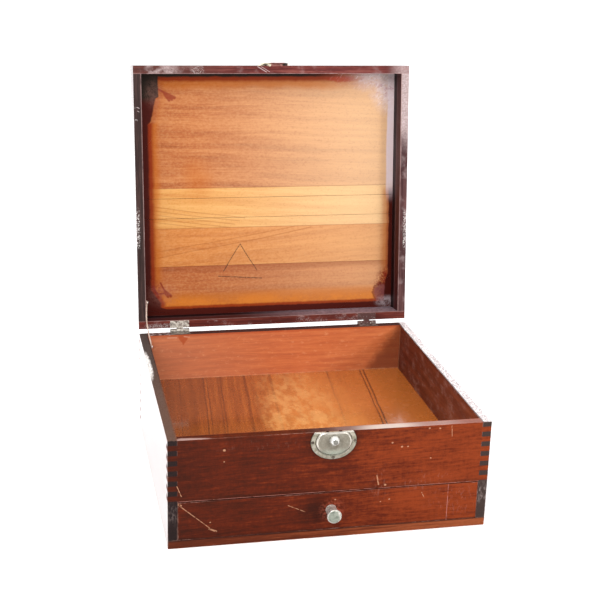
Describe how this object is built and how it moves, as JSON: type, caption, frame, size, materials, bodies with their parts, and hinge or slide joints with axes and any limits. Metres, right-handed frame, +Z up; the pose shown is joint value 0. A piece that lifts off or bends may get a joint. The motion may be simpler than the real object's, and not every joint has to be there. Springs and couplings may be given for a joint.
{
  "type": "sheet film storage case",
  "caption": "Varnished wooden case for sheet film or paper: hinged lid with push-button catch and cord stay, sheet compartment, drawer below.",
  "frame": {"origin": "centre of the case's underside", "axes": "+X to the right as seen from the front, +Y towards the back where the hinges are, +Z up"},
  "size_m": [0.32, 0.3961, 0.418],
  "materials": {
    "case_wood": "old varnished mahogany, dark red-brown",
    "front_wood": "old varnished mahogany, worn at the edges",
    "floor_wood": "glossy varnished board, streaked",
    "base_wood": "varnished softwood",
    "drawer_wood": "bare wood",
    "lid_rail_wood": "dark old varnish",
    "lid_board_front_wood": "streaked orange-brown wood, varnished",
    "lid_board_pale_wood": "pale yellow-orange wood, varnished",
    "lid_board_middle_wood": "orange wood, varnished",
    "lid_board_hinge_wood": "red-orange wood, varnished",
    "nickel": "worn nickel plate",
    "knob_metal": "turned metal, dulled",
    "hinge_metal": "corroded steel",
    "fastener_steel": "darkened steel",
    "spring_steel": "bright spring wire",
    "cord_cotton": "aged cotton cord"
  },
  "bodies": {
    "case": {"bottom_board": "base_wood", "left_side": "case_wood", "right_side": "case_wood", "back_panel": "case_wood", "front_panel": "front_wood", "compartment_floor": "floor_wood", "bottom_screws": "fastener_steel", "catch_plate": "nickel", "catch_case": "fastener_steel", "catch_nails": "fastener_steel", "catch_spring": "spring_steel", "left_hinge_case_leaf": "hinge_metal", "left_hinge_pin": "fastener_steel", "right_hinge_case_leaf": "hinge_metal", "right_hinge_pin": "fastener_steel", "hinge_case_screws": "fastener_steel", "stay_case_pin": "fastener_steel", "stay_cord": "cord_cotton", "stay_case_loop": "cord_cotton"},
    "lid": {"lid_front_rail": "lid_rail_wood", "lid_back_rail": "lid_rail_wood", "lid_left_rail": "lid_rail_wood", "lid_right_rail": "lid_rail_wood", "lid_board_front": "lid_board_front_wood", "lid_board_pale": "lid_board_pale_wood", "lid_board_middle": "lid_board_middle_wood", "lid_board_hinge": "lid_board_hinge_wood", "lid_nails": "fastener_steel", "strike_plate": "nickel", "strike_hook": "nickel", "strike_nails": "fastener_steel", "left_hinge_lid_leaf": "hinge_metal", "right_hinge_lid_leaf": "hinge_metal", "hinge_lid_screws": "fastener_steel", "stay_lid_pin": "fastener_steel", "stay_lid_loop": "cord_cotton"},
    "drawer": {"drawer_front": "front_wood", "drawer_left_side": "drawer_wood", "drawer_right_side": "drawer_wood", "drawer_back": "drawer_wood", "drawer_bottom": "drawer_wood", "drawer_nails": "fastener_steel", "drawer_knob": "knob_metal", "knob_screw": "fastener_steel"},
    "button": {"catch_button": "nickel", "latch_plate": "fastener_steel"}
  },
  "joints": [
    {"name": "lid_hinge", "type": "hinge", "parent": "case", "child": "lid", "pos_m": [0, 0.1535, 0.1136], "axis": [1, 0, 0], "range_deg": [0, 97.25], "deforming": ["stay_cord"]},
    {"name": "drawer_slide", "type": "slide", "parent": "case", "child": "drawer", "axis": [0, -1, 0], "range_m": [0, 0.2]},
    {"name": "catch_press", "type": "slide", "parent": "case", "child": "button", "axis": [0, 1, 0], "range_m": [0, 0.002], "stiffness_N_per_m": 600, "springref_m": -0.003, "deforming": ["catch_spring"]}
  ]
}
